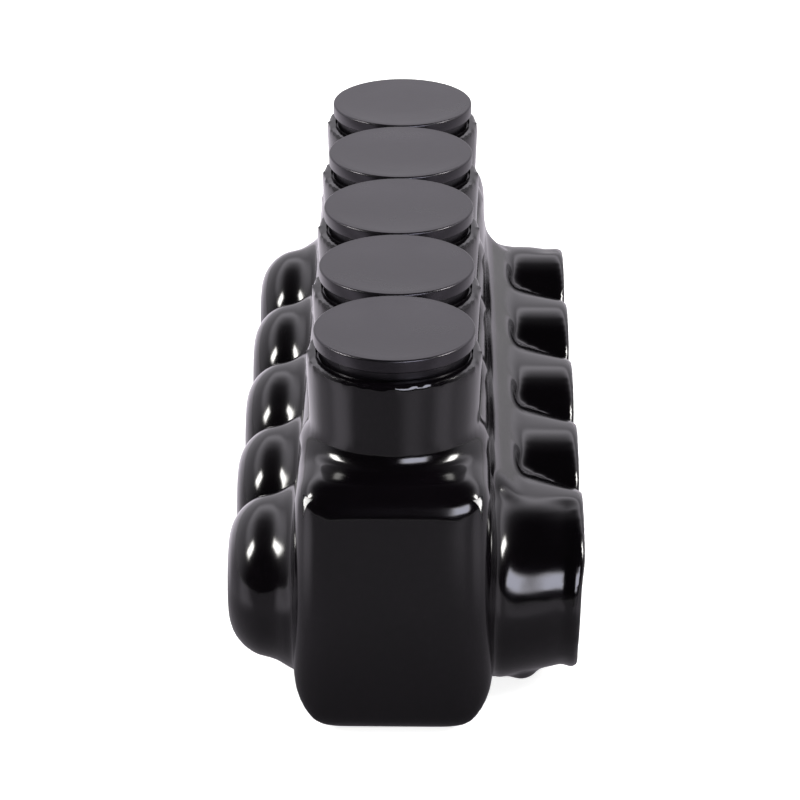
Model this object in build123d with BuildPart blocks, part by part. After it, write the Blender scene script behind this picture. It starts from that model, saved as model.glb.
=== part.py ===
"""Insulated multi-tap cable connector: a drilled aluminium bar in a dipped vinyl jacket, with a set screw
and a push-in access plug for each port. Millimetres, +Z up, +X out of the cable ports, +Y along the row.
The origin is at the middle of the flat underside."""

import math
import os

from build123d import *

os.makedirs("parts", exist_ok=True)

# The row of ports
port_count = 5
port_pitch = 26.2
end_gap = 2.4

# Jacket round the bar
jacket_wall = 2.3
shoulder_height = 12.1
top_edge_radius = 8.0
bottom_edge_radius = 7.5
end_edge_radius = 5.0

# Towers over the set screws
tower_overlap = 2.1
tower_wall = 1.5
tower_ledge = 2.25
tower_valley_radius = 2.5
tower_foot_fillet = 2.5
tower_rim_rounding = 0.6

# Open collars where the cables go in
collar_overlap = 2.4
collar_wall = 2.1
collar_reach = 14.5
collar_valley_radius = 2.5
collar_root_fillet = 2.5
lip_width = 2.3
lip_rise = 0.5
lip_rounding = 0.45

# Closed pockets behind the bar, one for the end of each cable
pocket_overlap = 3.0
pocket_ground_gap = 2.9
pocket_taper = 2.7
pocket_reach = 10.9
pocket_end_rounding = 7.0
pocket_wall = 2.2
pocket_root_fillet = 2.0

# Aluminium bar
bar_edge_radius = 1.0
cable_bore_diameter = 18.3

# Set screws
screw_diameter = 17.46
screw_clearance = 0.06
screw_length = 21.0
screw_tip_chamfer = 2.4
screw_head_chamfer = 0.9
screw_gap_to_bore = 0.75
hex_across_flats = 7.94
hex_depth = 9.0

# Access plugs
plug_to_screw_gap = 2.5
plug_disc_inset = 1.15
plug_disc_thickness = 2.3
plug_lift = 1.7
plug_dish = 0.3
plug_edge_rounding = 0.4
plug_neck_step = 0.5
plug_clearance = 0.08
plug_seat_depth = 0.6
plug_skirt_length = 7.0
plug_skirt_wall = 1.6
plug_lead_in = 0.8

# Sizes that follow: towers, collars and pockets are wider than the pitch, so neighbours run together
tower_diameter = port_pitch + tower_overlap
collar_diameter = port_pitch + collar_overlap
pocket_diameter = port_pitch + pocket_overlap
pocket_end_diameter = pocket_diameter - 2 * pocket_taper
port_axis_height = pocket_diameter / 2 + pocket_ground_gap
end_margin = pocket_diameter / 2 + end_edge_radius + end_gap
ports = [port_pitch * (i - (port_count - 1) / 2) for i in range(port_count)]
side_places = [(y, port_axis_height) for y in ports]
body_length = (port_count - 1) * port_pitch + 2 * end_margin
body_width = tower_diameter + 2 * tower_ledge
body_height = port_axis_height + collar_diameter / 2 + shoulder_height
side = body_width / 2
bar_side = side - jacket_wall
bar_length = body_length - 2 * jacket_wall
bar_top = body_height - jacket_wall
tower_bore_radius = tower_diameter / 2 - tower_wall
collar_bore_radius = collar_diameter / 2 - collar_wall
mouth = side + collar_reach
screw_bottom = port_axis_height + cable_bore_diameter / 2 + screw_gap_to_bore
screw_top = screw_bottom + screw_length
tower_rim_height = screw_top + plug_to_screw_gap + plug_skirt_length + plug_seat_depth
disc_bottom = tower_rim_height + plug_lift
disc_radius = tower_diameter / 2 - plug_disc_inset


def lobes(sketch, places, radius, valley_radius):
    """A circle at each place of the row, as one outline, with the creases between them rounded."""
    with Locations(places):
        Circle(radius)
    creases = sketch.vertices().filter_by(
        lambda v: sum(abs(math.dist((v.X, v.Y), place) - radius) < 0.01 for place in places) > 1
    )
    if creases:
        fillet(creases, valley_radius)


def pocket_section(sketch, inset, start):
    """Half section of a closed pocket about its port's axis, from the plane x = start out to its end."""
    end = -side - pocket_reach + inset
    start_radius = pocket_diameter / 2 + pocket_taper * (side + start) / pocket_reach
    with BuildLine() as outline:
        Polyline(
            (start, port_axis_height),
            (start, port_axis_height + start_radius - inset),
            (end, port_axis_height + pocket_end_diameter / 2 - inset),
            (end, port_axis_height),
            close=True,
        )
    make_face(outline.edges())
    corner = sketch.vertices().group_by(Axis.X)[0].sort_by(Axis.Y)[-1]
    fillet(corner, pocket_end_rounding - inset)


# The bar before it is drilled: its outside is also the cavity in the jacket
with BuildPart() as bar_blank:
    with BuildSketch(Plane.XY.offset(jacket_wall)):
        Rectangle(2 * bar_side, bar_length)
    extrude(amount=bar_top - jacket_wall)
    fillet(bar_blank.edges(), bar_edge_radius)

with BuildPart() as connector_block:
    add(bar_blank.part)
    with BuildSketch(Plane.YZ.offset(-bar_side)):
        with Locations(side_places):
            Circle(cable_bore_diameter / 2)
    extrude(amount=2 * bar_side, mode=Mode.SUBTRACT)
    with BuildSketch(Plane.XY.offset(bar_top)):
        with Locations([(0, y) for y in ports]):
            Circle(screw_diameter / 2 + screw_clearance)
    extrude(amount=port_axis_height - bar_top, mode=Mode.SUBTRACT)
connector_block.part.label = "connector_block"
export_step(connector_block.part, "parts/connector_block.step")

with BuildPart() as insulating_jacket:
    # The coat round the bar: one section along the row, with its two ends rounded over
    with BuildSketch(Plane.XZ.offset(-body_length / 2)) as section:
        with Locations((0, body_height / 2)):
            Rectangle(body_width, body_height)
        fillet(section.vertices().group_by(Axis.Y)[0], bottom_edge_radius)
        fillet(section.vertices().group_by(Axis.Y)[-1], top_edge_radius)
    extrude(amount=body_length)
    fillet(insulating_jacket.faces().filter_by(Axis.Y).edges(), end_edge_radius)

    # Towers, run together where they cross, with a soft foot on the coat
    tower_start = bar_top - top_edge_radius
    with BuildSketch(Plane.XY.offset(tower_start)) as tower_plan:
        lobes(tower_plan, [(0, y) for y in ports], tower_diameter / 2, tower_valley_radius)
    coat_edges = insulating_jacket.edges()
    extrude(amount=tower_rim_height - tower_start)
    foot = insulating_jacket.edges().filter_by(
        lambda e: tower_start < e.center().Z < body_height + 0.01
        and e.bounding_box().max.Z < body_height + 0.01
        and not any(e.is_same(old) for old in coat_edges)
    )
    fillet(foot, min(tower_foot_fillet, tower_valley_radius))
    fillet(insulating_jacket.faces().sort_by(Axis.Z)[-1].edges(), tower_rim_rounding)

    # Collars on the open side, each with a thicker lip at its mouth
    with BuildSketch(Plane.YZ) as collar_plan:
        lobes(collar_plan, side_places, collar_diameter / 2, collar_valley_radius)
    coat_edges = insulating_jacket.edges()
    extrude(amount=mouth - lip_width)
    root = insulating_jacket.edges().filter_by(
        lambda e: 0 < e.center().X < side + 0.01
        and e.bounding_box().max.X < side + 0.01
        and not any(e.is_same(old) for old in coat_edges)
    )
    fillet(root, collar_root_fillet)
    with BuildSketch(Plane.YZ.offset(mouth - lip_width)) as lip_plan:
        lobes(lip_plan, side_places, collar_diameter / 2 + lip_rise, collar_valley_radius - lip_rise)
    extrude(amount=lip_width)
    lip_faces = insulating_jacket.faces().filter_by(Axis.X).group_by(Axis.X)[-1]
    fillet(lip_faces.edges(), lip_rounding)

    # Closed pockets on the other side
    coat_edges = insulating_jacket.edges()
    for y in ports:
        with BuildSketch(Plane.XZ.offset(-y)) as pocket:
            pocket_section(pocket, 0, -side / 2)
        revolve(axis=Axis((0, y, port_axis_height), (1, 0, 0)))
    root = insulating_jacket.edges().filter_by(
        lambda e: -side - pocket_reach / 2 < e.center().X < 0
        and e.bounding_box().size.X < pocket_reach
        and not any(e.is_same(old) for old in coat_edges)
    )
    fillet(root, pocket_root_fillet)

    # The cavity for the bar, and the openings from it into each tower, collar and pocket
    add(bar_blank.part, mode=Mode.SUBTRACT)
    with BuildSketch(Plane.XY.offset(bar_top)):
        with Locations([(0, y) for y in ports]):
            Circle(tower_bore_radius)
    extrude(amount=tower_rim_height - bar_top, mode=Mode.SUBTRACT)
    with BuildSketch(Plane.YZ.offset(bar_side)):
        with Locations(side_places):
            Circle(collar_bore_radius)
    extrude(amount=mouth - bar_side, mode=Mode.SUBTRACT)
    for y in ports:
        with BuildSketch(Plane.XZ.offset(-y)) as hollow:
            pocket_section(hollow, pocket_wall, -bar_side)
        revolve(axis=Axis((0, y, port_axis_height), (1, 0, 0)), mode=Mode.SUBTRACT)
insulating_jacket.part.label = "insulating_jacket"
export_step(insulating_jacket.part, "parts/insulating_jacket.step")

for number, y in enumerate(ports, start=1):
    with BuildPart() as set_screw:
        with BuildSketch(Plane.XY.offset(screw_bottom)):
            with Locations((0, y)):
                Circle(screw_diameter / 2)
        extrude(amount=screw_length)
        rings = set_screw.edges().filter_by(GeomType.CIRCLE).group_by(Axis.Z)
        chamfer(rings[0], screw_tip_chamfer)
        chamfer(rings[-1], screw_head_chamfer)
        with BuildSketch(Plane.XY.offset(screw_top)):
            with Locations((0, y)):
                RegularPolygon(hex_across_flats / 2, 6, major_radius=False)
        extrude(amount=-hex_depth, mode=Mode.SUBTRACT)
    set_screw.part.label = f"set_screw_{number}"
    export_step(set_screw.part, f"parts/set_screw_{number}.step")

for number, y in enumerate(ports, start=1):
    # A disc over a hollow skirt, turned as one section
    skirt = tower_bore_radius - plug_clearance
    skirt_top = tower_rim_height - plug_seat_depth
    skirt_bottom = skirt_top - plug_skirt_length
    neck = skirt - plug_neck_step
    inner = skirt - plug_skirt_wall
    disc_top = disc_bottom + plug_disc_thickness
    with BuildPart() as access_plug:
        with BuildSketch(Plane.XZ.offset(-y)):
            with BuildLine():
                Line((0, disc_bottom), (inner, disc_bottom))
                Polyline(
                    (inner, disc_bottom),
                    (inner, skirt_bottom),
                    (skirt - plug_lead_in, skirt_bottom),
                    (skirt, skirt_bottom + plug_lead_in),
                    (skirt, skirt_top),
                    (neck, skirt_top),
                    (neck, disc_bottom),
                    (disc_radius, disc_bottom),
                    (disc_radius, disc_top - plug_edge_rounding),
                )
                TangentArc(
                    (disc_radius, disc_top - plug_edge_rounding),
                    (disc_radius - plug_edge_rounding, disc_top),
                    tangent=(0, 1),
                )
                TangentArc(
                    (0, disc_top - plug_dish),
                    (disc_radius - plug_edge_rounding, disc_top),
                    tangent=(1, 0),
                )
                Line((0, disc_top - plug_dish), (0, disc_bottom))
            make_face()
        revolve(axis=Axis((0, y, 0), (0, 0, 1)))
    access_plug.part.label = f"access_plug_{number}"
    export_step(access_plug.part, f"parts/access_plug_{number}.step")
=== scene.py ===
import math

import bmesh
import bpy
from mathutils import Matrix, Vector


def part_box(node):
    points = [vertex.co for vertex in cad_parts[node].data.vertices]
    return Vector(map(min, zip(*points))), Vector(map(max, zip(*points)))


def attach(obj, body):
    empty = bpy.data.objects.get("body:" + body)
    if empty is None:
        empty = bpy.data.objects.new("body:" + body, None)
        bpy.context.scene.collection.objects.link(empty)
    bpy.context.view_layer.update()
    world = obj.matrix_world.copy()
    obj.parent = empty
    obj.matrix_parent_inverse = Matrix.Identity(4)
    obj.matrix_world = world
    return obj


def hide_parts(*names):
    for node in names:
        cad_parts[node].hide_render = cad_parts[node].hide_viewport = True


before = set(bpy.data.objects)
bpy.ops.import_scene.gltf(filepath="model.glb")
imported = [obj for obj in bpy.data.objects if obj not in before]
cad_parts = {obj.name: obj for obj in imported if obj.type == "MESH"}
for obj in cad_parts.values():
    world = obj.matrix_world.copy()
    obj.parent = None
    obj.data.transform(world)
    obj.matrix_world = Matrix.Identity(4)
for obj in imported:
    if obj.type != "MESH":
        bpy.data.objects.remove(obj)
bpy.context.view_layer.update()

# Studio: a white table and a white room that is dark overhead and behind the camera.
# A softbox stands at each side of the row, and a window behind the camera, to its right.
# Reflections also show a grey card that lies on the table: a painted reflection of the table, darkest close
# to the connector as painted shadow.
mm = 0.001
white = (1.0, 1.0, 1.0, 1.0)


class Signal:
    """A shader socket that can stand in a sum, such as 1 - mask."""

    def __init__(self, tree, socket):
        self.tree = tree
        self.socket = socket

    def node(self, kind, settings=None, output=0, **inputs):
        """A new node of this tree with its settings, such as a ramp's stops, and then its inputs."""
        made = self.tree.nodes.new(kind)
        for name, value in (settings or {}).items():
            if name == "stops":
                for stop, (place, shade) in zip(made.color_ramp.elements, value):
                    stop.position = place
                    stop.color = (*shade, 1.0)
            else:
                setattr(made, name, value)
        for name, value in inputs.items():
            key = int(name[1:]) if name[0] == "i" and name[1:].isdigit() else name.replace("_", " ")
            if isinstance(value, Signal):
                self.tree.links.new(value.socket, made.inputs[key])
            else:
                made.inputs[key].default_value = value
        return Signal(self.tree, made.outputs[output])

    def beside(self, output):
        """Another output of the node that this socket is on."""
        return Signal(self.tree, self.socket.node.outputs[output])

    def math(self, operation, *terms):
        inputs = {f"i{number}": term for number, term in enumerate(terms)}
        return self.node("ShaderNodeMath", {"operation": operation}, **inputs)

    def __add__(self, other):
        return self.math("ADD", self, other)

    def __radd__(self, other):
        return self.math("ADD", other, self)

    def __sub__(self, other):
        return self.math("SUBTRACT", self, other)

    def __rsub__(self, other):
        return self.math("SUBTRACT", other, self)

    def __mul__(self, other):
        return self.math("MULTIPLY", self, other)

    def __rmul__(self, other):
        return self.math("MULTIPLY", other, self)

    def step(self, low, high):
        """0 below low and 1 above high, with a smooth rise between them."""
        settings = {"interpolation_type": "SMOOTHSTEP"}
        return self.node("ShaderNodeMapRange", settings, Value=self, From_Min=low, From_Max=high)

    def levels(self, level, changes):
        """A level that changes by each amount where this signal goes from its low to its high."""
        for amount, low, high in changes:
            level = level + amount * self.step(low, high)
        return level

    def mix(self, first, second):
        """The first colour where this signal is 0 and the second where it is 1."""
        return self.node("ShaderNodeMix", {"data_type": "RGBA"}, output=2, i0=self, i6=first, i7=second)


def ray_kinds(start):
    """1 for the camera's own rays, straight or let through, and then 1 for reflected rays."""
    rays = start.node("ShaderNodeLightPath", output="Is Camera Ray")
    return rays + rays.beside("Is Transmission Ray"), rays.beside("Is Glossy Ray")


room_light = 0.45
wall_level = 0.8
wall_changes = ((1.2, 0.38, 0.55), (-1.45, 0.5, 0.85), (-0.55, 0.6, 1.0))
wall_fade = (-0.4, 0.3)
wall_dark = 0.01
wall_tint = (1.0, 0.96, 1.04, 1.0)
window_level = 11.0
window_sides = ((2.3, 2.45), (2.9, 3.05))
window_heights = ((0.17, 0.25), (0.48, 0.6))
window_tint = (0.84, 0.85, 1.0, 1.0)

room = bpy.data.worlds.new("room")
bpy.context.scene.world = room
room.use_nodes = True
start = Signal(room.node_tree, None)
towards = start.node("ShaderNodeSeparateXYZ", Vector=start.node("ShaderNodeTexCoord"))
back = towards.beside("Y")
up = towards.beside("Z")
seen, glossy = ray_kinds(start)
walls = up.levels(wall_level, wall_changes) * back.step(*wall_fade) + wall_dark
azimuth = back.math("ARCTAN2", towards, back)
window = azimuth.step(*window_sides[0]) * (1 - azimuth.step(*window_sides[1]))
window = window * up.step(*window_heights[0]) * (1 - up.step(*window_heights[1]))
brightness = seen + glossy * (walls + window_level * window) + (1 - seen) * (1 - glossy) * room_light
tint = (window * glossy).mix(white, window_tint)
tint = (glossy * (1 - window)).mix(tint, wall_tint)
background = room.node_tree.nodes["Background"]
room.node_tree.links.new(tint.socket, background.inputs["Color"])
room.node_tree.links.new(brightness.socket, background.inputs["Strength"])


def sheet(name, size, place, rotation=(0, 0, 0)):
    """A flat piece of a length and a breadth, with its place in its mesh."""
    bpy.ops.object.select_all(action="DESELECT")
    bpy.ops.mesh.primitive_plane_add(size=1, location=place, rotation=rotation)
    made = bpy.context.object
    made.name = name
    made.scale = (*size, 1)
    bpy.ops.object.transform_apply(location=True, rotation=True, scale=True)
    return made


def bare_material(name):
    """A new material with no shader yet, and a signal to start its nodes from."""
    made = bpy.data.materials.new(name)
    made.use_nodes = True
    made.node_tree.nodes.remove(made.node_tree.nodes["Principled BSDF"])
    return made, Signal(made.node_tree, None)


def finish_stage(piece, surface, shader):
    """Gives a stage piece its material, which shows this shader."""
    shader.tree.links.new(shader.socket, surface.node_tree.nodes["Material Output"].inputs["Surface"])
    piece.data.materials.append(surface)


table_size = (12.0, 12.0)
table_drop = 0.02 * mm
table_glow = 0.85
table_mirrored = 0.1
table_grey = (0.85, 0.85, 0.85, 1.0)

table = sheet("table", table_size, (0, 0, -table_drop))
table_white, start = bare_material("table_white")
seen, glossy = ray_kinds(start)
glow = start.node("ShaderNodeEmission", Color=white, Strength=table_glow * seen + table_mirrored * glossy)
lit = start.node("ShaderNodeBsdfDiffuse", Color=table_grey)
finish_stage(table, table_white, start.node("ShaderNodeAddShader", i0=glow, i1=lit))

# Only reflections show the card, which is a painted reflection of the table with painted shadow at its dark
# centre. Its levels follow the direction from its dark centre, where 0 is towards the camera and 3.14
# straight away from it, to the right or to the left.
card_size = (1.6, 1.6)
card_lift = 0.1 * mm
card_centre = -66.0 * mm
card_tint = (1.0, 0.94, 1.04, 1.0)
card_level = 0.21
# Painted shadow: the card's level rises away from its dark centre, close to the connector.
card_painted_shadow = ((0.14, 10.0 * mm, 60.0 * mm),)
card_far = (50.0 * mm, 85.0 * mm)
card_right = ((0.4, 0.05, 0.4), (-0.25, 0.5, 0.85), (0.45, 0.9, 1.2), (-0.35, 1.3, 1.6), (0.2, 1.85, 2.3))
card_left = ((0.85, 0.95, 1.3), (-0.6, 1.4, 1.7), (0.65, 1.95, 2.4))

card = sheet("grey_card", card_size, (0, 0, card_lift))
card_painted_reflection, start = bare_material("card_painted_reflection")
place = start.node("ShaderNodeSeparateXYZ", Vector=start.node("ShaderNodeTexCoord", output="Object"))
ahead = card_centre - place.beside("Y")
apart = place.math("SQRT", place * place + ahead * ahead)
right = place.math("ARCTAN2", place, ahead)
left = right * -1
sides = right.levels(0.0, card_right) + left.levels(0.0, card_left)
# Painted reflection of the table: darker close to the connector as painted shadow, with levels that change
# to the sides.
grey = apart.levels(card_level, card_painted_shadow) + sides * apart.step(*card_far)
card.visible_camera = card.visible_diffuse = card.visible_shadow = False
finish_stage(card, card_painted_reflection, start.node("ShaderNodeEmission", Color=card_tint, Strength=grey))

# Each softbox is a glowing panel, dimmer towards its edges, that faces the row.
# Azimuth 0 is +Y and 90 is +X.
softboxes = {"softbox_left": -100, "softbox_right": 100}
softbox_elevation = 34
softbox_distance = 0.9
softbox_aim = Vector((0, 0, 30.0 * mm))
softbox_size = (0.24, 0.4)
softbox_level = 40.0
softbox_fade = (0.2, 0.5)
softbox_tint = (1.0, 0.98, 0.95, 1.0)

for name, azimuth in softboxes.items():
    flat = math.cos(math.radians(softbox_elevation))
    ray = Vector((
        math.sin(math.radians(azimuth)) * flat,
        math.cos(math.radians(azimuth)) * flat,
        math.sin(math.radians(softbox_elevation)),
    ))
    place = softbox_aim + ray * softbox_distance
    panel = sheet(name, softbox_size, place, ray.to_track_quat("-Z", "Y").to_euler())
    cloth, start = bare_material(name)
    across = start.node("ShaderNodeSeparateXYZ", Vector=start.node("ShaderNodeTexCoord", output="UV"))
    fade = 1.0
    for spread in (across - 0.5, across.beside("Y") - 0.5):
        fade = fade * (1 - spread.math("ABSOLUTE", spread).step(*softbox_fade))
    panel.visible_camera = False
    glow = start.node("ShaderNodeEmission", Color=softbox_tint, Strength=softbox_level * fade)
    finish_stage(panel, cloth, glow)

camera_place = (7.14 * mm, -533.14 * mm, 275.83 * mm)
camera_direction = Vector((-0.01175, 0.90480, -0.42567))
camera_sensor = 36.0
camera_lens = 148.3

camera_turn = camera_direction.to_track_quat("-Z", "Y").to_euler()
bpy.ops.object.camera_add(location=camera_place, rotation=camera_turn)
camera = bpy.context.object
camera.data.sensor_width = camera_sensor
camera.data.lens = camera_lens
bpy.context.scene.camera = camera
bpy.context.scene.view_settings.view_transform = "Standard"

# Connector block: one extruded aluminium bar with broken edges. Each port has a reamed cable bore right
# through the bar and, from the top face down to that bore, a tapped hole for its set screw.
port_count = 5
ports = []
for number in range(1, port_count + 1):
    low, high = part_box(f"set_screw_{number}")
    ports.append((low.y + high.y) / 2)
screw_low, screw_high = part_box("set_screw_1")
block_low, block_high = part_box("connector_block")
port_height = 17.5 * mm
cable_bore = 9.15 * mm
bore_chamfer = 0.7 * mm
block_edge = 1.0 * mm
block_edge_steps = 4
block_crease = 30
screw_radius = screw_high.x
thread_pitch = 1.45 * mm
thread_depth = 0.6 * mm
thread_play = 0.1 * mm
thread_flat = 1.3
thread_rings = 100
spare = 6.0 * mm
hair = 0.01 * mm
round_steps = 96


def start_editing(piece, kind, test):
    """Opens a piece in edit mode with the vertices or edges selected that pass a test."""
    bpy.ops.object.select_all(action="DESELECT")
    piece.select_set(True)
    bpy.context.view_layer.objects.active = piece
    bpy.ops.object.mode_set(mode="EDIT")
    bpy.ops.mesh.select_mode(type=kind)
    bpy.ops.mesh.select_all(action="DESELECT")
    shape = bmesh.from_edit_mesh(piece.data)
    for item in {"VERT": shape.verts, "EDGE": shape.edges}[kind]:
        item.select = test(item)
    shape.select_flush_mode()
    bmesh.update_edit_mesh(piece.data)


def finish_editing():
    bpy.ops.object.mode_set(mode="OBJECT")


def box(low, high):
    """A rectangular block between two corners, with its place in its mesh."""
    bpy.ops.object.select_all(action="DESELECT")
    centre = (Vector(low) + Vector(high)) / 2
    bpy.ops.mesh.primitive_cube_add(size=1, location=centre, scale=Vector(high) - Vector(low))
    bpy.ops.object.transform_apply(location=True, rotation=True, scale=True)
    return bpy.context.object


def rod(start_point, end_point, start_radius, end_radius=None, steps=round_steps):
    """A round bar between two points, or a cone where an end radius is given, with its place in its mesh."""
    bpy.ops.object.select_all(action="DESELECT")
    start_point, end_point = Vector(start_point), Vector(end_point)
    axis = end_point - start_point
    bpy.ops.mesh.primitive_cone_add(
        vertices=steps,
        radius1=start_radius,
        radius2=start_radius if end_radius is None else end_radius,
        depth=axis.length,
        location=(start_point + end_point) / 2,
        rotation=axis.to_track_quat("Z", "Y").to_euler(),
    )
    bpy.ops.object.transform_apply(location=True, rotation=True, scale=True)
    return bpy.context.object


def apply(piece, kind, **settings):
    """Adds a modifier to a piece and applies it."""
    bpy.context.view_layer.objects.active = piece
    modifier = piece.modifiers.new(kind.lower(), kind)
    for name, value in settings.items():
        setattr(modifier, name, value)
    bpy.ops.object.modifier_apply(modifier=modifier.name)


def cut(piece, tool, operation="DIFFERENCE"):
    """Cuts a piece by a tool, or joins them, or keeps what they share, and deletes the tool."""
    apply(piece, "BOOLEAN", operation=operation, solver="MANIFOLD", object=tool)
    bpy.data.objects.remove(tool)


def threaded(y, low, high, radius, rings):
    """An upright rod with a flat-bottomed thread cut into it, in step with every other such rod."""
    thread = rod((0, y, low), (0, y, high), radius)
    start_editing(thread, "EDGE", lambda e: abs(e.verts[0].co.z - e.verts[1].co.z) > (high - low) / 2)
    bpy.ops.mesh.subdivide(number_cuts=rings)
    finish_editing()
    for vertex in thread.data.vertices:
        turn = math.atan2(vertex.co.y - y, vertex.co.x) / math.tau
        groove = 0.5 + 0.5 * math.cos(math.tau * (vertex.co.z / thread_pitch - turn))
        inner = 1 - thread_depth * min(1.0, thread_flat * groove) / radius
        vertex.co.x *= inner
        vertex.co.y = y + (vertex.co.y - y) * inner
    return thread


def smooth_shade(piece, crease):
    """Shades a piece smooth, apart from edges that turn by more than crease, in degrees."""
    bpy.ops.object.select_all(action="DESELECT")
    piece.select_set(True)
    bpy.context.view_layer.objects.active = piece
    bpy.ops.object.shade_smooth_by_angle(angle=math.radians(crease))


def material(name, roughness, specular=0.5, metallic=0.0):
    """A new material, its Principled shader, and the Object coordinates that its patterns follow."""
    made = bpy.data.materials.new(name)
    made.use_nodes = True
    shader = made.node_tree.nodes["Principled BSDF"]
    shader.inputs["Roughness"].default_value = roughness
    shader.inputs["Specular IOR Level"].default_value = specular
    shader.inputs["Metallic"].default_value = metallic
    place = Signal(made.node_tree, None).node("ShaderNodeTexCoord", output="Object")
    return made, shader, place


def feed(shader, **inputs):
    """Links signals to sockets of a Principled shader."""
    for name, value in inputs.items():
        value.tree.links.new(value.socket, shader.inputs[name.replace("_", " ")])


def two_tone(noise, dark, light):
    """A colour that goes from dark to light over the middle of a noise's range."""
    return noise.node("ShaderNodeValToRGB", {"stops": ((0.3, dark), (0.7, light))}, Fac=noise)


bar = box(block_low, block_high)
start_editing(bar, "EDGE", lambda e: True)
bpy.ops.mesh.bevel(offset=block_edge, segments=block_edge_steps)
finish_editing()
for y in ports:
    cut(bar, rod((block_low.x - spare, y, port_height), (block_high.x + spare, y, port_height), cable_bore))
    for face, way in ((block_low.x, -1), (block_high.x, 1)):
        wide = (face + way * bore_chamfer, y, port_height)
        narrow = (face - way * bore_chamfer, y, port_height)
        cut(bar, rod(wide, narrow, cable_bore + 2 * bore_chamfer, cable_bore - hair))
    cut(bar, threaded(y, port_height, block_high.z + spare, screw_radius + thread_play, thread_rings))
    narrow = (0, y, block_high.z - bore_chamfer)
    wide = (0, y, block_high.z + bore_chamfer)
    cut(bar, rod(narrow, wide, screw_radius - bore_chamfer, screw_radius + bore_chamfer))
bar.name = "drilled_bar"
smooth_shade(bar, block_crease)

bar_aluminium, shader, place = material("bar_aluminium", 0.34, metallic=1.0)
streaks = place.node("ShaderNodeMapping", Vector=place, Scale=(1.0, 0.02, 1.0))
streaks = place.node("ShaderNodeTexNoise", Vector=streaks, Scale=2600.0, Detail=4.0)
rings = place.node("ShaderNodeMapping", Vector=place, Scale=(1.0, 0.01, 0.01))
rings = place.node("ShaderNodeTexNoise", Vector=rings, Scale=3400.0, Detail=2.0)
clouds = place.node("ShaderNodeTexNoise", Vector=place, Scale=90.0, Detail=3.0)
feed(
    shader,
    Base_Color=two_tone(clouds, (0.6, 0.6, 0.62), (0.78, 0.78, 0.79)),
    Roughness=0.26 + 0.2 * streaks,
    Normal=streaks.node("ShaderNodeBump", Height=streaks + rings, Strength=0.25, Distance=0.05 * mm),
)
bar.data.materials.append(bar_aluminium)
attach(bar, "root")
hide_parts("connector_block")

# Insulating jacket: one coat of black vinyl, dipped over the drilled bar and cured.
# Its five screw towers, five open cable collars and five closed pockets run into it with soft roots.
# The vinyl has rounded the rims of the towers and sagged a little below the collars.
jacket_low, jacket_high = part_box("insulating_jacket")
coat_side = 16.4 * mm
coat_top = 43.9 * mm
coat_end = jacket_high.y
coat_shoulder = 4.6 * mm
coat_foot = 8.8 * mm
coat_corner = 6.4 * mm
coat_brow = 6.2 * mm
coat_toe = 3.7 * mm
coat_edge_steps = 12
coat_soften = 12
coat_taper = 0.045
corner_reach = 10.5 * mm
corner_soften = 50
tower_radius = 14.3 * mm
tower_slope = 0.04
tower_start = 30.0 * mm
tower_rim = jacket_high.z
tower_bore = 12.65 * mm
tower_foot = (2.6 * mm, 3.4 * mm)
rim_lift = 0.15 * mm
collar_radius = 14.4 * mm
collar_core = collar_radius - 1.0 * mm
collar_bore = 12.2 * mm
collar_profile = (
    (15.4 * mm, 16.8 * mm),
    (17.0 * mm, 15.6 * mm),
    (18.6 * mm, 14.8 * mm),
    (20.6 * mm, 14.4 * mm),
    (24.2 * mm, 14.4 * mm),
    (27.0 * mm, 14.1 * mm),
    (28.0 * mm, 13.9 * mm),
    (28.9 * mm, 14.4 * mm),
    (30.0 * mm, 14.5 * mm),
    (31.4 * mm, 14.2 * mm),
)
lip_start = 28.0 * mm
lip_drop = 0.35 * mm
collar_sag = 1.3 * mm
collar_sag_end = 26.0 * mm
drip_place = 21.0 * mm
drip_height = 4.3 * mm
drip_radius = 3.3 * mm
drip_turn = 4.5 * mm
shelf_end = 17.9 * mm
shelf_height = 14.3 * mm
shelf_slope = 4.5 * mm
ramp_rise = 20.0 * mm
web_spread = 2.3
pocket_root = (1.2 * mm, 2.0 * mm)
pocket_radius = 14.8 * mm
pocket_start_share = 1.1
pocket_end_radius = 12.7 * mm
pocket_end = jacket_low.x
pocket_rounding = 6.6 * mm
pocket_edge_steps = 12
pocket_wall = 2.2 * mm
root_overlap = 1.0 * mm
skin_grid = 0.68 * mm
skin_soften = 10
root_places = ((18.0 * mm, 5.0 * mm, 18.0 * mm), (-18.0 * mm, 4.5 * mm, 0.0))
root_end = 68.0 * mm
root_fade = 3.0 * mm
root_soften = 30
mouth = jacket_high.x
mouth_reach = 5.0 * mm
mouth_bulge = 1.0 * mm
mouth_dent_height = 0.72
mouth_dent_width = 0.3
mouth_wave = 0.15 * mm
mouth_wave_rise = 5.1
mouth_wave_start = 0.7
mouth_wave_length = 3.9 * mm
jacket_crease = 35


def middle(edge):
    return (edge.verts[0].co + edge.verts[1].co) / 2


def kept_within(value):
    """A value kept between 0 and 1."""
    return min(1.0, max(0.0, value))


def join(pieces):
    bpy.ops.object.select_all(action="DESELECT")
    for piece in pieces:
        piece.select_set(True)
    bpy.context.view_layer.objects.active = pieces[0]
    bpy.ops.object.join()
    return bpy.context.object


def pocket(y, inset):
    """A closed pocket, drawn in by inset, from inside the coat out to its rounded end."""
    end = pocket_end + inset
    shape = rod(
        (0, y, port_height),
        (end, y, port_height),
        pocket_radius * pocket_start_share - inset,
        pocket_end_radius - inset,
    )
    start_editing(shape, "EDGE", lambda e: all(abs(v.co.x - end) < hair for v in e.verts))
    bpy.ops.mesh.bevel(offset=pocket_rounding - inset, segments=pocket_edge_steps, profile=0.5)
    finish_editing()
    return shape


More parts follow.
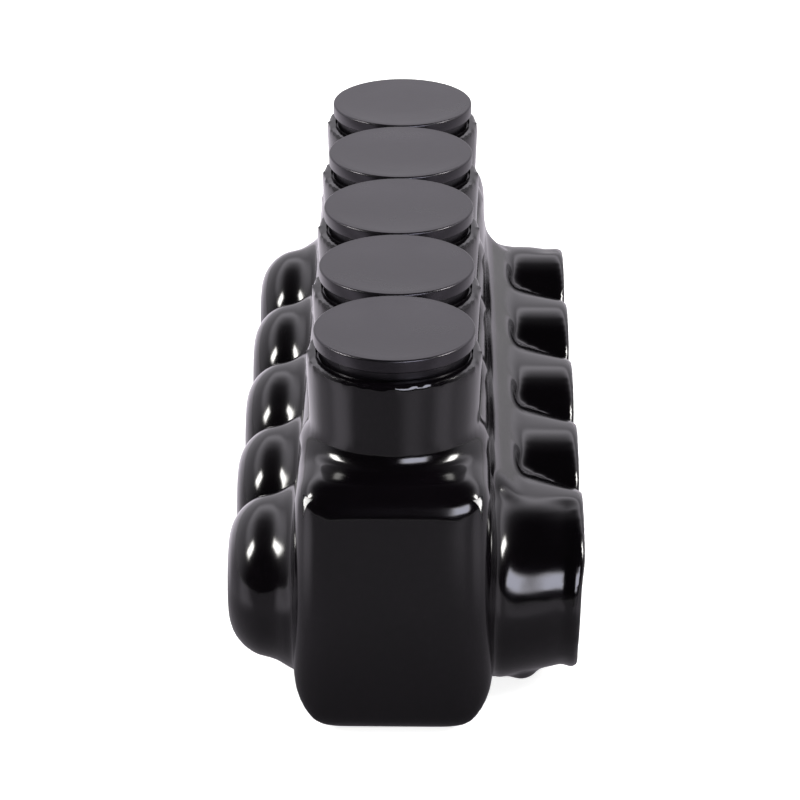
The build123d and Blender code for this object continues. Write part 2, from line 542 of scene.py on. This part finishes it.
def rounded(piece, along, low_radius, high_radius, level):
    """Rounds the four edges of a block along one axis: first those on the low side of a level across it."""
    across = 1 if along == 2 else 2
    for radius, above in ((low_radius, False), (high_radius, True)):
        start_editing(
            piece,
            "EDGE",
            lambda e: abs(e.verts[0].co[along] - e.verts[1].co[along]) > coat_side
            and (middle(e)[across] > level) == above,
        )
        bpy.ops.mesh.bevel(offset=radius, segments=coat_edge_steps)
        finish_editing()


def soft_root(place, outward, radius, root):
    """Two cones that thicken a round form at the place where it leaves the coat in a direction, outward."""
    flare, reach = root
    place, outward = Vector(place), Vector(outward)
    crest = place - outward * root_overlap
    return [
        rod(crest, place + outward * reach, radius + flare, radius),
        rod(crest, place - outward * spare, radius + flare, radius - flare),
    ]


# The coat is what three blocks share, each with its edges along one axis rounded.
coat = box((-coat_side, -coat_end - spare, 0), (coat_side, coat_end + spare, coat_top))
rounded(coat, 1, coat_foot, coat_shoulder, coat_top / 2)
shape = box((-coat_side - hair, -coat_end, -spare), (coat_side + hair, coat_end, coat_top + spare))
rounded(shape, 2, coat_corner, coat_corner, 0)
cut(coat, shape, "INTERSECT")
far_corner = (coat_side + spare, coat_end + hair, coat_top + hair)
shape = box((-coat_side - spare, -coat_end - hair, -hair), far_corner)
rounded(shape, 0, coat_toe, coat_brow, coat_top / 2)
cut(coat, shape, "INTERSECT")
apply(coat, "REMESH", mode="VOXEL", voxel_size=skin_grid)
apply(coat, "SMOOTH", factor=0.5, iterations=coat_soften)
corners = coat.vertex_groups.new(name="corners")
corner = Vector((coat_side, coat_end, coat_top))
for vertex in coat.data.vertices:
    vertex.co.x *= 1 - coat_taper * vertex.co.z / coat_top
    apart = Vector((abs(vertex.co.x), abs(vertex.co.y), vertex.co.z)) - corner
    corners.add([vertex.index], kept_within(1 - apart.length / corner_reach), "REPLACE")
apply(coat, "SMOOTH", factor=1.0, iterations=corner_soften, vertex_group="corners")

# Towers, collars and pockets, each with its root. A drip hangs below each collar.
outside = [coat]
tower_start_radius = tower_radius - tower_slope * (tower_rim - tower_start)
for y in ports:
    outside.append(rod((0, y, tower_start), (0, y, tower_rim + rim_lift), tower_start_radius, tower_radius))
    outside += soft_root((0, y, coat_top), (0, 0, 1), tower_start_radius, tower_foot)
    outside.append(rod((0, y, port_height), (mouth, y, port_height), collar_core))
    for (low, low_radius), (high, high_radius) in zip(collar_profile, collar_profile[1:]):
        level = port_height - (lip_drop if high > lip_start else 0)
        outside.append(rod((low, y, level), (high, y, level), low_radius, high_radius))
    crest = (coat_side - root_overlap, y, port_height - collar_sag)
    outside.append(rod(crest, (collar_sag_end, y, port_height), collar_radius + collar_sag, collar_radius))
    bpy.ops.object.select_all(action="DESELECT")
    drip = (drip_place, y - drip_turn, drip_height)
    bpy.ops.mesh.primitive_uv_sphere_add(radius=drip_radius, location=drip)
    bpy.ops.object.transform_apply(location=True)
    outside.append(bpy.context.object)
    outside += soft_root((-coat_side, y, port_height), (-1, 0, 0), pocket_radius, pocket_root)
    outside.append(pocket(y, 0))

# A ledge joins the roots of the collars along the row, with a ramp on it that slopes down from the coat.
shelf_low = port_height - shelf_height
shelf_high = port_height + shelf_height
shelf = box((coat_side - spare, ports[0], shelf_low), (shelf_end, ports[-1], shelf_high))
ramp_end = (coat_side + shelf_slope, ports[-1], shelf_high + shelf_slope)
ramp = box((coat_side - spare, ports[0], shelf_low), ramp_end)
start_editing(ramp, "EDGE", lambda e: all(v.co.x > coat_side and v.co.z > shelf_high for v in e.verts))
bpy.ops.mesh.bevel(offset=shelf_slope, segments=1)
finish_editing()
start_editing(ramp, "VERT", lambda v: v.co.x > coat_side and v.co.z < port_height)
bpy.ops.transform.translate(value=(-shelf_slope, 0, ramp_rise))
finish_editing()
outside += [shelf, ramp]

# A web spreads from each collar towards the next one along the row. At the two ends of the row only the
# inner half of its rod stays.
for y in ports:
    web = rod((shelf_end - root_overlap, y, port_height), (mouth, y, port_height), collar_radius)
    start_editing(web, "VERT", lambda v: v.co.x < shelf_end and v.co.y > y)
    bpy.ops.transform.resize(value=(1, web_spread, 1), center_override=(shelf_end, y, port_height))
    bpy.ops.mesh.select_all(action="SELECT")
    if y == ports[0]:
        bpy.ops.mesh.bisect(plane_co=(0, y, 0), plane_no=(0, 1, 0), use_fill=True, clear_inner=True)
    if y == ports[-1]:
        bpy.ops.mesh.bisect(plane_co=(0, y, 0), plane_no=(0, 1, 0), use_fill=True, clear_outer=True)
    finish_editing()
    outside.append(web)

# All of them become one skin, softest at the roots and uneven at the mouths of the collars.
jacket = join(outside)
jacket.name = "vinyl_jacket"
apply(jacket, "REMESH", mode="VOXEL", voxel_size=skin_grid, use_smooth_shade=True)
apply(jacket, "SMOOTH", factor=0.5, iterations=skin_soften)
roots = jacket.vertex_groups.new(name="roots")
for vertex in jacket.data.vertices:
    share = 0.0
    for place, reach, low in root_places:
        apart = abs(vertex.co.x - place) / reach
        if apart < 1 and vertex.co.z > low:
            share = (1 - apart * apart) * kept_within((root_end - abs(vertex.co.y)) / root_fade)
    roots.add([vertex.index], share, "REPLACE")
apply(jacket, "SMOOTH", factor=0.5, iterations=root_soften, vertex_group="roots")
for vertex in jacket.data.vertices:
    outward = kept_within(1 + (vertex.co.x - mouth) / mouth_reach)
    rise = (vertex.co.z - port_height) / collar_radius
    bulge = 1 - math.exp(-(((rise - mouth_dent_height) / mouth_dent_width) ** 2))
    wave = math.sin(rise * mouth_wave_rise + mouth_wave_start) * math.cos(vertex.co.y / mouth_wave_length)
    vertex.co.x -= (mouth_bulge * bulge + mouth_wave * (1 + wave)) * outward**2
    vertex.co.x = min(vertex.co.x, mouth)

# The hollow for the bar, with an opening into each tower, collar and pocket, is cut in one go.
hollow = box(block_low, block_high)
for y in ports:
    cut(hollow, rod((0, y, block_high.z - spare), (0, y, tower_rim + spare), tower_bore), "UNION")
    cut(hollow, rod((0, y, port_height), (mouth + spare, y, port_height), collar_bore), "UNION")
    cut(hollow, pocket(y, pocket_wall), "UNION")
cut(jacket, hollow)
smooth_shade(jacket, jacket_crease)

jacket.data.materials.clear()
black_vinyl, shader, place = material("black_vinyl", 0.13, specular=0.45)
clouds = place.node("ShaderNodeTexNoise", Vector=place, Scale=70.0, Detail=2.0)
grain = place.node("ShaderNodeTexNoise", Vector=place, Scale=900.0, Detail=3.0)
feed(
    shader,
    Base_Color=two_tone(clouds, (0.0016, 0.0012, 0.0018), (0.0026, 0.0019, 0.0029)),
    Roughness=0.1 + 0.06 * clouds,
    Normal=clouds.node("ShaderNodeBump", Height=clouds + 0.04 * grain, Strength=0.3, Distance=0.2 * mm),
)
jacket.data.materials.append(black_vinyl)
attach(jacket, "root")
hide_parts("insulating_jacket")

# Set screws: hollow-hex aluminium screws with a chamfered tip, turned down on the cables from the towers.
# Their thread fits the tapped holes of the bar, and their travel is a whole number of its turns.
tip_chamfer = 2.4 * mm
head_chamfer = 0.9 * mm
hex_sides = 6
hex_flats = 7.94 * mm
hex_corner = hex_flats / math.sqrt(3)
hex_depth = 9.0 * mm
hex_lead = 0.5 * mm
screw_crease = 30


def copied(piece, y):
    """A copy of the first port's piece, with its own mesh, moved along the row to another port."""
    bpy.ops.object.select_all(action="DESELECT")
    piece.select_set(True)
    bpy.context.view_layer.objects.active = piece
    bpy.ops.object.duplicate()
    bpy.ops.transform.translate(value=(0, y - ports[0], 0))
    bpy.ops.object.transform_apply(location=True)
    return bpy.context.object


y = ports[0]
screw = threaded(y, screw_low.z, screw_high.z, screw_radius, 2 * thread_rings)
for vertex in screw.data.vertices:
    past_head = head_chamfer + vertex.co.z - screw_high.z
    past_tip = tip_chamfer - vertex.co.z + screw_low.z
    limit = screw_radius - max(0.0, past_head, past_tip)
    inner = min(1.0, limit / math.hypot(vertex.co.x, vertex.co.y - y))
    vertex.co.x *= inner
    vertex.co.y = y + (vertex.co.y - y) * inner
hex_floor = (0, y, screw_high.z - hex_depth)
cut(screw, rod(hex_floor, (0, y, screw_high.z + spare), hex_corner, steps=hex_sides))
lead_low = (0, y, screw_high.z - hex_lead)
lead_high = (0, y, screw_high.z + hex_lead)
cut(screw, rod(lead_low, lead_high, hex_corner - hex_lead, hex_corner + hex_lead))
smooth_shade(screw, screw_crease)

screw_aluminium, shader, place = material("screw_aluminium", 0.3, metallic=1.0)
rings = place.node("ShaderNodeMapping", Vector=place, Scale=(0.02, 0.02, 1.0))
rings = place.node("ShaderNodeTexNoise", Vector=rings, Scale=5200.0, Detail=2.0)
clouds = place.node("ShaderNodeTexNoise", Vector=place, Scale=260.0, Detail=3.0)
feed(
    shader,
    Base_Color=two_tone(clouds, (0.52, 0.52, 0.54), (0.7, 0.7, 0.71)),
    Roughness=0.22 + 0.2 * rings,
    Normal=rings.node("ShaderNodeBump", Height=rings, Strength=0.2, Distance=0.03 * mm),
)
screw.data.materials.append(screw_aluminium)
screws = [screw] + [copied(screw, y) for y in ports[1:]]
for number, screw in enumerate(screws, start=1):
    screw.name = f"hex_screw_{number}"
    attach(screw, f"set_screw_{number}")
    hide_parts(f"set_screw_{number}")

# Access plugs: soft moulded vinyl plugs, each a slightly dished matte disc on a hollow skirt.
# They are pushed into the towers by hand, and the disc stays clear above the rim to be gripped.
plug_low, plug_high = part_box("access_plug_1")
disc_radius = 13.0 * mm
disc_top = plug_high.z
disc_thickness = 2.3 * mm
disc_low = disc_top - disc_thickness
disc_rounding = 0.4 * mm
disc_dish = 0.6 * mm
dish_steep = (0.75, 0.5)
dish_shallow = (0.4, 0.9)
dish_rounding = 1.5 * mm
skirt_radius = 12.57 * mm
skirt_low = plug_low.z
skirt_high = 57.9 * mm
skirt_wall = 1.6 * mm
skirt_inside = skirt_radius - skirt_wall
skirt_lead = 0.8 * mm
neck_radius = 12.07 * mm
wide_rounding = 0.3 * mm
rim_rounding = 0.2 * mm
neck_rounding = 0.15 * mm
plug_rounding_steps = 4
plug_crease = 40
# Radius, height and rounding of each corner, from the middle of the underside to the middle of the dish
plug_profile = (
    (0, disc_low, 0),
    (skirt_inside, disc_low, wide_rounding),
    (skirt_inside, skirt_low, rim_rounding),
    (skirt_radius - skirt_lead, skirt_low, rim_rounding),
    (skirt_radius, skirt_low + skirt_lead, wide_rounding),
    (skirt_radius, skirt_high, neck_rounding),
    (neck_radius, skirt_high, neck_rounding),
    (neck_radius, disc_low, neck_rounding),
    (disc_radius, disc_low, wide_rounding),
    (disc_radius, disc_top, disc_rounding),
    (disc_radius * dish_steep[0], disc_top - disc_dish * dish_steep[1], dish_rounding),
    (disc_radius * dish_shallow[0], disc_top - disc_dish * dish_shallow[1], dish_rounding),
    (0, disc_top - disc_dish, 0),
)

y = ports[0]
bpy.ops.object.select_all(action="DESELECT")
bpy.ops.mesh.primitive_plane_add(size=mm)
plug = bpy.context.object
start_editing(plug, "VERT", lambda v: True)
bpy.ops.mesh.merge(type="CENTER")
at = Vector((0, 0, 0))
for radius, height, rounding in plug_profile:
    step = Vector((radius, y, height)) - at
    if at.length == 0:
        bpy.ops.transform.translate(value=step)
    else:
        bpy.ops.mesh.extrude_vertices_move(TRANSFORM_OT_translate={"value": step})
    at += step
finish_editing()
for radius, height, rounding in plug_profile:
    if rounding:
        corner = Vector((radius, y, height))
        start_editing(plug, "VERT", lambda v: (v.co - corner).length < hair)
        bpy.ops.mesh.bevel(offset=rounding, segments=plug_rounding_steps, affect="VERTICES")
        finish_editing()
start_editing(plug, "VERT", lambda v: True)
bpy.ops.mesh.spin(steps=round_steps, angle=math.tau, center=(0, y, 0), axis=(0, 0, 1))
bpy.ops.mesh.select_all(action="SELECT")
bpy.ops.mesh.remove_doubles(threshold=0.001 * mm)
bpy.ops.mesh.normals_make_consistent(inside=False)
finish_editing()
smooth_shade(plug, plug_crease)

matte_vinyl, shader, place = material("matte_vinyl", 0.3)
shader.inputs["Specular Tint"].default_value = (0.96, 0.92, 1.0, 1.0)
clouds = place.node("ShaderNodeTexNoise", Vector=place, Scale=120.0, Detail=4.0)
grain = place.node("ShaderNodeTexNoise", Vector=place, Scale=2600.0, Detail=3.0)
feed(
    shader,
    Base_Color=two_tone(clouds, (0.0022, 0.0018, 0.0027), (0.0032, 0.0027, 0.0038)),
    Roughness=0.24 + 0.1 * clouds,
    Normal=grain.node("ShaderNodeBump", Height=grain, Strength=0.3, Distance=0.04 * mm),
)
plug.data.materials.append(matte_vinyl)
plugs = [plug] + [copied(plug, y) for y in ports[1:]]
for number, plug in enumerate(plugs, start=1):
    plug.name = f"disc_plug_{number}"
    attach(plug, f"access_plug_{number}")
    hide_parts(f"access_plug_{number}")
